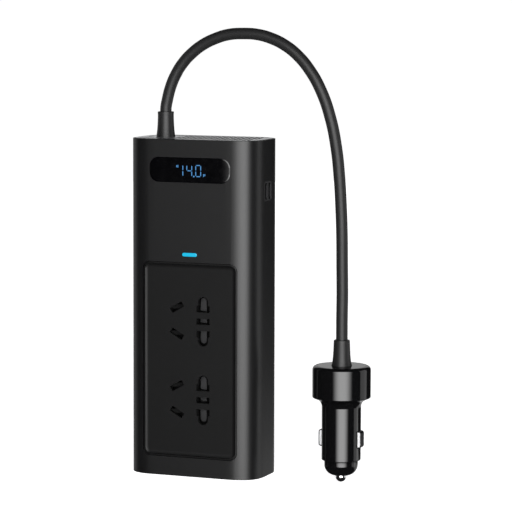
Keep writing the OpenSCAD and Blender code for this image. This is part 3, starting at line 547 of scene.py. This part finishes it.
def make_panel():
    """Outer groove, thin rim and hollowed slope down to the recessed face, with the openings cut."""
    outer_groove = [(0, 1.7), (0.2, 1.7)]
    rim = [(0.22, 0.1), (0.28, 0.04), (0.8, 0.04), (0.86, 0.12)]
    inner_groove = [(0.88, 1.1), (1.24, 1.1)]
    steps, slope_start, slope_w, slope_h, face_depth = 8, 1.26, 1.9, 0.56, 0.8
    slope = [
        (slope_start + slope_w * i / steps, face_depth - slope_h * (1 - i / steps) ** 2)
        for i in range(steps + 1)
    ]
    path = outer_groove + rim + inner_groove + slope
    loops = [[(x, PANEL_BACK, z + PANEL_Z) for x, z in inset_outline(PANEL_W, PANEL_H, PANEL_R, 0, 16)]]
    for inset, depth in path:
        outline = inset_outline(PANEL_W, PANEL_H, PANEL_R, inset, 16)
        loops.append([(x, PANEL_FACE + depth + set_back(x), z + PANEL_Z) for x, z in outline])
    obj = settle("outlet_panel", skin(loops), "panel", ["socket_panel"])
    through = (PANEL_FACE - 2, PANEL_BACK + 2)
    openings = []
    for z in OUTLETS:
        for sign in (1, -1):
            openings.append(front_prism(tilted_slot(sign), *through, z=z))
            openings.append(front_prism(pin_hole(sign), *through, z=z))
        earth = rounded_outline(HOLE_BASE_W, EARTH_H, 0.2, 3)
        openings.append(front_prism(earth, *through, x=HOLE_X, z=z))
    cut(obj, openings)
    soften(obj, 0.16, angle=50, segments=2)


RAMP_H, SHUTTER_GAP = 3.6, 0.3
TONGUE_W, TONGUE_PROUD, TONGUE_X = 4.1, 0.25, 5.8
TONGUE_START, TONGUE_ROUND_Z, TONGUE_BAR_H = 5.1, 9.9, 2.1


def make_tongues():
    """Raised tongues on the ramps of the hole shutters, seen through the pin holes, grey as a painted
    highlight of the lit ramps.
    """
    low, high = mm_box("upper_hole_shutter")
    ramp_start = PANEL_BACK + SHUTTER_GAP + RAMP_H
    half = TONGUE_W / 2

    def ramp(x):
        return ramp_start - RAMP_H * (x - low[0]) / (high[0] - low[0])

    pin = [(-half, TONGUE_START), (half, TONGUE_START)] + arc(0, TONGUE_ROUND_Z, half, 0, 180, 14)
    bar = rounded_outline(TONGUE_W, TONGUE_BAR_H, 0.25, 4)
    for level, z in zip(("upper", "lower"), OUTLETS):
        for place, outline in (("high", pin), ("low", [(x, -up) for x, up in pin]), ("middle", bar)):
            loops = [
                [(TONGUE_X + x, ramp(TONGUE_X + x) - proud, z + up) for x, up in outline]
                for proud in (-0.1, TONGUE_PROUD)
            ]
            body = f"{level}_hole_shutter"
            # Painted highlight: the tongue is lighter grey than its shutter where the ramp catches the light.
            obj = settle(f"{level}_tongue_{place}", skin(loops), "shutter_grey", body=BODY_OF[body])
            soften(obj, 0.12, angle=50, segments=2)


# ------------------------------------------------------------------ display and indicator


def make_window():
    """Polished window whose ends curve back a little, like the body's corners."""
    flat_half, drop = 15.5, 0.36
    reach = WINDOW_W / 2 - flat_half

    def depth(x, y):
        return y + drop * (max(0, abs(x) - flat_half) / reach) ** 2

    path = [(0, FRONT + WALL), (0, FRONT + 0.16), (0.04, FRONT + 0.06), (0.16, FRONT)]
    path += [(0.16 + 6.2 * i / 9, FRONT) for i in range(1, 10)]
    loops = []
    for inset, y in path:
        outline = inset_outline(WINDOW_W, WINDOW_H, WINDOW_R, inset, 16)
        loops.append([(x, depth(x, y), z + WINDOW_Z) for x, z in outline])
    obj = settle("window", skin(loops), "window", ["display_window"])
    smooth(obj, 30)


DIGIT_H, DIGIT_W, BAR, PITCH_X, SEGMENT_GAP = 6.2, 3.2, 0.44, 5, 0.5
SEGMENTS = {
    "top": (0, 1, True), "upper_right": (1, 0.5, False), "lower_right": (1, -0.5, False),
    "bottom": (0, -1, True), "lower_left": (-1, -0.5, False), "upper_left": (-1, 0.5, False),
    "middle": (0, 0, True),
}
READING = [
    ["upper_right", "lower_right"],
    ["upper_right", "lower_right", "upper_left", "middle"],
    ["top", "upper_right", "lower_right", "bottom", "lower_left", "upper_left"],
]


def bar_outline(x, z, length, flat):
    """A segment with pointed ends, drawn about (x, z)."""
    half, tip = length / 2, BAR / 2
    shape = [
        (-half, 0), (-half + tip, -tip), (half - tip, -tip), (half, 0), (half - tip, tip), (-half + tip, tip),
    ]
    return [(x + a, z + b) if flat else (x - b, z + a) for a, b in shape]


def make_digits():
    """Lit seven-segment digits, a point and two small generic marks, level with the window."""
    outlines = []
    half_w, half_h = (DIGIT_W - BAR) / 2, (DIGIT_H - BAR) / 2
    for d, names in enumerate(READING):
        for name in names:
            sx, sz, flat = SEGMENTS[name]
            length = (2 * half_w if flat else half_h) - SEGMENT_GAP
            outlines.append(bar_outline((d - 1) * PITCH_X + sx * half_w, sz * half_h, length, flat))
    point = rounded_outline(0.75, 0.75, 0.2, 4)
    outlines.append([(x + PITCH_X / 2, z - half_h) for x, z in point])
    for x, z, h in ((-7.1, 2.2, 1.0), (-6.4, 2.2, 1.4), (8.0, -2.2, 1.4), (8.7, -2.0, 1.0)):
        mark = rounded_outline(0.4, h, 0.1, 3)
        outlines.append([(x + a, z + b) for a, b in mark])
    aside, below, proud, deep = 0.1, 0.3, 0.02, 0.25
    points, faces = [], []
    for outline in outlines:
        n, start = len(outline), len(points)
        for y in (FRONT - proud, FRONT + deep):
            points += [(x - aside, y, z + WINDOW_Z - below) for x, z in outline]
        faces += [(start + j, start + (j + 1) % n, start + n + (j + 1) % n, start + n + j) for j in range(n)]
        faces += [tuple(range(start, start + n)), tuple(range(start + n, start + 2 * n))]
    settle("digits", mesh_of(points, faces), "digits", ["display_digits"])


def make_light_bar():
    """Pill-shaped light pipe with a slightly domed face."""
    path = [(0, FRONT + WALL), (0, FRONT + 0.12), (0.05, FRONT + 0.03), (0.18, FRONT - 0.01),
            (0.45, FRONT - 0.06), (0.8, FRONT - 0.09)]
    loops = [
        [(x, y, z + LED_Z) for x, z in inset_outline(LED_W, LED_H, LED_H / 2, inset, 10)]
        for inset, y in path
    ]
    obj = settle("light_bar", skin(loops), "light_pipe", ["led_light_pipe"])
    smooth(obj, 60)


# ------------------------------------------------------------------ lead, strain reliefs and plug


def make_lead():
    curve = bpy.data.curves.new("lead", "CURVE")
    curve.dimensions = "3D"
    curve.bevel_depth = LEAD_DIAMETER / 2
    curve.bevel_resolution = 12
    curve.resolution_u = 10
    curve.use_fill_caps = True
    spline = curve.splines.new("BEZIER")
    spline.bezier_points.add(len(LEAD_ROUTE) - 1)
    for knot, place in zip(spline.bezier_points, LEAD_ROUTE):
        knot.co = Vector(place) * MM
        knot.handle_left_type = knot.handle_right_type = "AUTO"
    lead = add_object("lead", curve)
    paint(lead, "lead")
    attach(lead, ROOT)
    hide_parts("cord")
    return lead


GLAND_AT = (LEAD_ROUTE[0][0], LEAD_ROUTE[0][1])
PLUG_AT = (LEAD_ROUTE[-1][0], LEAD_ROUTE[-1][1])


def make_body_relief():
    """Tapered relief with a flared foot and a small lip round the lead."""
    top = LEAD_ROUTE[0][2]
    foot = BODY_H + 0.2
    shank_r, shank = 4.4, 12
    profile = [(0, foot - shank), (shank_r, foot - shank), (shank_r, foot)]
    flare = ((5.0, 0), (4.92, 0.6), (4.72, 2), (4.52, 3.8), (4.36, 6), (4.25, 8.4))
    profile += [(r, foot + up) for r, up in flare]
    lip = ((4.18, 2.2), (4.2, 1.2), (4.27, 0.5), (4.22, 0.16), (4.02, 0), (3.35, 0), (3.1, 0.3), (0, 0.3))
    profile += [(r, top - down) for r, down in lip]
    obj = settle("body_relief", lathe(profile, GLAND_AT), "strain_relief", ["body_gland"])
    smooth(obj, 35)


def turned_size(node):
    """Radius, bottom and top of a round upright CAD node."""
    low, high = mm_box(node)
    return (high[0] - low[0]) / 2, low[2], high[2]


COLLAR_R, _, COLLAR_TOP = turned_size("plug_collar")
BARREL_R, BARREL_BOTTOM, _ = turned_size("plug_barrel")
COLLAR_H, BARREL_TOP = 16.3, COLLAR_TOP - 12.6
NOSE_R, NOSE_BOTTOM, _ = turned_size("plug_nose")


def make_plug_relief():
    top = LEAD_ROUTE[-1][2]
    foot = ((0, -0.3), (5.3, -0.3), (5.3, 0.25), (5.1, 0.7), (4.8, 2), (4.55, 4.4), (4.35, 7.6))
    end = ((4.22, 2), (4.15, 0.5), (4.05, 0.14), (3.85, 0), (3.2, 0), (3.05, 0.3), (0, 0.3))
    profile = [(r, COLLAR_TOP + up) for r, up in foot] + [(r, top - down) for r, down in end]
    obj = settle("plug_relief", lathe(profile, PLUG_AT), "strain_relief", ["plug_strain_relief"])
    smooth(obj, 35)
    return obj


def make_collar():
    """Polished collar: rounded shoulders, a shallow ring in its top and a cove down to the barrel."""
    r, top, shoulder = COLLAR_R, COLLAR_TOP, 2.1
    base = top - COLLAR_H
    inner = BARREL_R - 0.4
    profile = [(0, base + 3), (inner, base + 3), (inner, base - 5)]
    cove = ((0.02, 5), (0.06, 4.4), (0.24, 3.7), (0.6, 2.95), (1.15, 2.25), (2.0, 1.55), (3.2, 0.95))
    profile += [(BARREL_R + out, base - down) for out, down in cove]
    profile.append((r - 0.45, base - 0.35))
    profile += arc(r - 0.6, base + 0.2, 0.6, -50, 0, 6)
    profile += arc(r - shoulder, top - shoulder, shoulder, 0, 82, 14)
    ring = ((0.05, 0.02), (0.1, 0.14), (0.26, 0.14), (0.32, 0.02), (0.5, 0))
    profile += [(r - shoulder - inwards, top - down) for inwards, down in ring]
    profile.append((0, top))
    obj = settle("collar", lathe(profile, PLUG_AT, 128), "plug_gloss", ["plug_collar"])
    smooth(obj, 40)
    return obj


def make_barrel():
    low, inner = BARREL_BOTTOM, BARREL_R - 2
    profile = [(inner, low), (BARREL_R - 0.6, low)] + arc(BARREL_R - 0.55, low + 0.5, 0.5, -90, 0, 6)
    profile += [(BARREL_R, BARREL_TOP), (inner, BARREL_TOP), (inner, low)]
    obj = settle("barrel", lathe(profile, PLUG_AT, 128), "plug_gloss", ["plug_barrel"])
    cutters = []
    for side in (-1, 1):
        low_c, high_c = mm_box("left_side_contact" if side < 0 else "right_side_contact")
        half_w, slot_h, mid_z = (high_c[1] - low_c[1]) / 2 + 0.15, 9.6, (high_c[2] + low_c[2]) / 2
        slot = rounded_outline(2 * half_w, slot_h, 0.6, 6)
        x0, x1 = sorted((PLUG_AT[0] + side * 3, PLUG_AT[0] + side * 14))
        cutters.append(side_prism(slot, x0, x1, PLUG_AT[1], mid_z))
    cut(obj, cutters)
    smooth(obj, 40)
    return obj


def make_side_contacts():
    """Bent spring straps on two turned-in feet, dark as painted shade, each with a light plate that fills its
    loop as a painted highlight.
    """
    pieces = []
    for sign, node in ((-1, "left_side_contact"), (1, "right_side_contact")):
        low, high = mm_box(node)
        out = (high[0] if sign > 0 else -low[0]) - sign * PLUG_AT[0]
        foot, strap, half, bend = BARREL_R - 2.6, 0.5, 4.4, 1.3
        turned_in, foot_h, seat, sunk = foot - 1.2, 1, 0.05, 0.3
        mid_z = (low[2] + high[2]) / 2

        def half_loop(reach, top, r):
            return [(foot, top)] + [(x, z) for x, z in reversed(arc(reach - r, top - r, r, 0, 90, 8))]

        outer = half_loop(out, half, bend)
        inner = half_loop(out - strap, half - strap, bend - strap)
        shape = outer + [(x, -z) for x, z in reversed(outer)]
        shape += [(foot, -half - foot_h), (turned_in, -half - foot_h), (turned_in, -half + strap)]
        shape += [(x, -z) for x, z in inner] + list(reversed(inner))
        shape += [(turned_in, half - strap), (turned_in, half + foot_h), (foot, half + foot_h)]
        loops = [
            [(PLUG_AT[0] + sign * x, y, z + mid_z) for x, z in dict.fromkeys(shape)]
            for y in (low[1], high[1])
        ]
        body, side = BODY_OF[node], node.replace("side_contact", "")
        # Painted shade: the strap is dark steel so its edges read as the shaded outline of the contact.
        shaded_strap = settle(side + "strap", skin(loops), "dark_steel", [node], body)
        face = [(x, -z) for x, z in inner] + list(reversed(inner))
        loops = [
            [(PLUG_AT[0] + sign * (x + seat), y, z + mid_z) for x, z in dict.fromkeys(face)]
            for y in (low[1] + sunk, high[1] - sunk)
        ]
        # Painted highlight: a light nickel plate fills the loop to stand for the contact's lit face.
        blade = settle(side + "blade", skin(loops), "nickel_painted_highlight", body=body)
        for obj, radius in ((shaded_strap, 0.12), (blade, 0.05)):
            soften(obj, radius, angle=40, segments=2)
            pieces.append(obj)
    return pieces


def make_nose():
    """Screwed nose with a domed end, a groove where it meets the barrel and a hole for the contact."""
    low, top, bore = NOSE_BOTTOM, BARREL_BOTTOM - 0.02, 2.85
    dome, thread_r, thread_top = 5.6, BARREL_R - 2.1, top + 4
    chamber_r, chamber_z, edge = 4.6, 8.4, low + 0.1
    profile = [(bore, edge), (bore + 0.15, low)]
    profile += arc(NOSE_R - dome, low + dome, dome, -90, 0, 18)
    groove = ((0, 0.75), (0.12, 0.62), (0.12, 0.42), (0, 0.3), (0, 0))
    profile += [(NOSE_R - deep, top - down) for deep, down in groove]
    profile += [(thread_r, top), (thread_r, thread_top), (chamber_r, thread_top), (chamber_r, chamber_z)]
    profile += [(bore, chamber_z), (bore, edge)]
    obj = settle("nose", lathe(profile, PLUG_AT, 128), "plug_gloss", ["plug_nose"])
    smooth(obj, 40)
    return obj


def make_springs():
    """Drawn-wire coils in place of the plain ones."""
    for level in ("upper", "lower"):
        for kind, side in (("slot", -1), ("hole", 1)):
            node = f"{level}_{kind}_spring"
            low, high = mm_box(node)
            start, end = (high[0], low[0]) if side < 0 else (low[0], high[0])
            middle = [(a + b) / 2 for a, b in zip(low, high)]
            obj = coil(node.replace("spring", "coil"), (start, middle[1], middle[2]), (end - start, 0, 0),
                       0.85, 0.15, 7)
            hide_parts(node)
            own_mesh(obj)
    low, high = mm_box("tip_spring")
    obj = coil("tip_coil", (*PLUG_AT, low[2]), (0, 0, high[2] - low[2]), 2.6, 0.35, 6)
    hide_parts("tip_spring")
    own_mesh(obj)
    return obj


def coil(name, start, along, r, wire, turns, steps=20, sides=8):
    """A round-wire spring from start, as long as along, turning about it."""
    start, along = Vector(start), Vector(along)
    axis = along.normalized()
    u = axis.orthogonal().normalized()
    v = axis.cross(u)
    rise = along.length - 2 * wire
    loops = []
    for i in range(turns * steps + 1):
        a = 2 * math.pi * i / steps
        out = u * math.cos(a) + v * math.sin(a)
        centre = start + axis * (wire + rise * i / (turns * steps)) + out * r
        loops.append([
            centre + (out * math.cos(b) + axis * math.sin(b)) * wire
            for b in (2 * math.pi * j / sides for j in range(sides))
        ])
    obj = settle(name, skin(loops), "spring_steel")
    smooth(obj, 60)
    return obj


# ------------------------------------------------------------------ CAD pieces that stay

KEPT = {
    "top_grille": ("grille", 0.02), "bottom_cap": ("sleeve", 0.2), "top_frame": ("frame_plastic", 0.2),
    "bottom_screws": ("steel", 0.08), "top_screws": ("steel", 0.08), "fan_screws": ("steel", 0.08),
    "board_screws": ("steel", 0.08), "socket_screws": ("steel", 0.08),
    "digit_module": ("led_module", 0.2), "display_board": ("circuit_board", 0.1),
    "led_board": ("circuit_board", 0.1), "port_board": ("circuit_board", 0.1),
    # The socket block and its back cover get the near-black insulator, painted shade for the insides of the
    # openings.
    "main_board": ("circuit_board", 0.1), "socket_block": ("insulator", 0.2),
    "socket_back_cover": ("insulator", 0.2), "live_contacts": ("brass", 0.08),
    "neutral_contacts": ("brass", 0.08), "earth_contacts": ("brass", 0.08),
    # The shutters and the port tongues are near-black as painted shade inside their openings.
    "upper_slot_shutter": ("shutter_dark", 0.15), "lower_slot_shutter": ("shutter_dark", 0.15),
    "upper_hole_shutter": ("shutter_dark", 0.15), "lower_hole_shutter": ("shutter_dark", 0.15),
    "port_surround": ("frame_plastic", 0.12), "port_shells": ("dark_steel", 0.05),
    "port_tongues": ("shutter_dark", 0.08), "heat_sink": ("heat_sink", 0.12),
    "power_transistors": ("chip", 0.1), "control_chips": ("chip", 0.15), "filter_choke": ("copper", 0.8),
    "transformer_core": ("ferrite", 0.25), "transformer_winding": ("winding_tape", 0.4),
    "input_capacitors": ("capacitor", 0.4), "bulk_capacitor": ("capacitor", 0.5),
    "fan_frame": ("frame_plastic", 0.15), "fan_rotor": ("frame_plastic", 0.12),
    "gland_nut": ("frame_plastic", 0.3), "input_wires": ("wire", 0.1), "tip_contact": ("nickel", 0.15),
    "plug_fuse": ("fuse_glass", 0.1),
}


def finish_kept():
    """Welds each kept CAD node, clears its flat faces of triangles and rounds its edges."""
    for node, (slot, width) in KEPT.items():
        obj = frame["nodes"][node]
        paint(obj, slot)
        weld = obj.modifiers.new("weld", "WELD")
        weld.merge_threshold = 0.002 * MM
        flat = obj.modifiers.new("flat_faces", "DECIMATE")
        flat.decimate_type = "DISSOLVE"
        flat.angle_limit = math.radians(1)
        bevel = obj.modifiers.new("soft_edges", "BEVEL")
        bevel.width = width * MM
        bevel.segments = 2
        bevel.limit_method = "ANGLE"
        bevel.angle_limit = math.radians(40)
        bevel.harden_normals = False
        weighted = obj.modifiers.new("flat_faces_first", "WEIGHTED_NORMAL")
        weighted.keep_sharp = True


# ------------------------------------------------------------------ studio


def add_floor():
    material = bpy.data.materials.new("floor")
    material.use_nodes = True
    tree = material.node_tree
    bsdf = tree.nodes["Principled BSDF"]
    bsdf.inputs["Base Color"].default_value = (0.9, 0.9, 0.9, 1)
    bsdf.inputs["Roughness"].default_value = 0.9
    bsdf.inputs["Specular IOR Level"].default_value = 0
    bsdf.inputs["Emission Color"].default_value = (1, 1, 1, 1)
    place = tree.nodes.new("ShaderNodeNewGeometry")
    reach_out = tree.nodes.new("ShaderNodeVectorMath")
    reach_out.operation = "LENGTH"
    glow = tree.nodes.new("ShaderNodeMapRange")
    for socket, value in (("From Min", 0.3), ("From Max", 1.6), ("To Min", 0.86), ("To Max", 1.0)):
        glow.inputs[socket].default_value = value
    tree.links.new(place.outputs["Position"], reach_out.inputs[0])
    tree.links.new(reach_out.outputs["Value"], glow.inputs["Value"])
    tree.links.new(glow.outputs["Result"], bsdf.inputs["Emission Strength"])
    mesh = bpy.data.meshes.new("floor")
    reach = 60
    corners = [(-reach, -reach, 0), (reach, -reach, 0), (reach, reach, 0), (-reach, reach, 0)]
    mesh.from_pydata(corners, [], [(0, 1, 2, 3)])
    floor = add_object("floor", mesh)
    floor.data.materials.append(material)
    floor.visible_glossy = False
    floor.visible_shadow = False


# Azimuth in degrees, 0 in front and 90 to the right; elevation in degrees; distance, width and
# height in metres; radiance; and the share of the width over which each side fades in, or 0.
SOFTBOXES = {
    "key": (24.5, 8, 1.6, 2.85, 1.6, 7.6, 0.43),
    "side": (116, 5, 1.6, 1.05, 1.4, 0.9, 0),
    "back": (207, 8, 2.0, 2.0, 1.8, 0.5, 0),
    "rim": (-104, 5, 1.6, 1.1, 1.4, 0.5, 0),
    "low_back": (165, -23, 1.8, 3.2, 0.6, 0.65, 0),
}


def add_softbox(name, azimuth, elevation, distance, width, height, radiance, fade):
    """An area light that faces the object."""
    data = bpy.data.lights.new(name, "AREA")
    data.shape = "RECTANGLE"
    data.size, data.size_y = width, height
    data.energy = radiance * math.pi * width * height
    light = add_object(name, data)
    a, e = math.radians(azimuth), math.radians(elevation)
    offset = Vector((math.sin(a) * math.cos(e), -math.cos(a) * math.cos(e), math.sin(e))) * distance
    aim = Vector((0.02, 0, 0.1))
    light.location = aim + offset
    light.rotation_euler = (-offset).to_track_quat("-Z", "Y").to_euler()
    light.visible_camera = False
    if fade:
        fade_sides(data, fade)


def fade_sides(data, share):
    """Lets a softbox brighten from both sides inwards, each over the given share of its width."""
    data.use_nodes = True
    tree = data.node_tree
    across = tree.nodes.new("ShaderNodeSeparateXYZ")
    from_side = tree.nodes.new("ShaderNodeMath")
    from_side.operation = "PINGPONG"
    from_side.inputs[1].default_value = 0.5
    ramp = tree.nodes.new("ShaderNodeMapRange")
    ramp.interpolation_type = "SMOOTHSTEP"
    ramp.inputs["From Max"].default_value = share
    tree.links.new(tree.nodes.new("ShaderNodeNewGeometry").outputs["Parametric"], across.inputs[0])
    tree.links.new(across.outputs["X"], from_side.inputs[0])
    tree.links.new(from_side.outputs["Value"], ramp.inputs["Value"])
    tree.links.new(ramp.outputs["Result"], tree.nodes["Emission"].inputs["Strength"])


def add_studio():
    world = bpy.data.worlds.new("studio")
    bpy.context.scene.world = world
    world.use_nodes = True
    tree = world.node_tree
    shade = tree.nodes["Background"]
    shade.inputs["Color"].default_value = (0.012, 0.012, 0.0125, 1)
    backdrop = tree.nodes.new("ShaderNodeBackground")
    backdrop.inputs["Color"].default_value = (1, 1, 1, 1)
    path = tree.nodes.new("ShaderNodeLightPath")
    mix = tree.nodes.new("ShaderNodeMixShader")
    tree.links.new(path.outputs["Is Camera Ray"], mix.inputs["Fac"])
    tree.links.new(shade.outputs["Background"], mix.inputs[1])
    tree.links.new(backdrop.outputs["Background"], mix.inputs[2])
    tree.links.new(mix.outputs["Shader"], tree.nodes["World Output"].inputs["Surface"])
    for name, settings in SOFTBOXES.items():
        add_softbox(name, *settings)
    bpy.context.scene.view_settings.view_transform = "Standard"


# ------------------------------------------------------------------ build

lead = make_lead()
plug_relief = make_plug_relief()
collar = make_collar()
barrel = make_barrel()
nose = make_nose()
straps = make_side_contacts()
make_body_relief()
make_sleeve()
make_panel()
make_window()
make_digits()
make_light_bar()
make_tongues()
tip_coil = make_springs()
finish_kept()
add_floor()
add_studio()
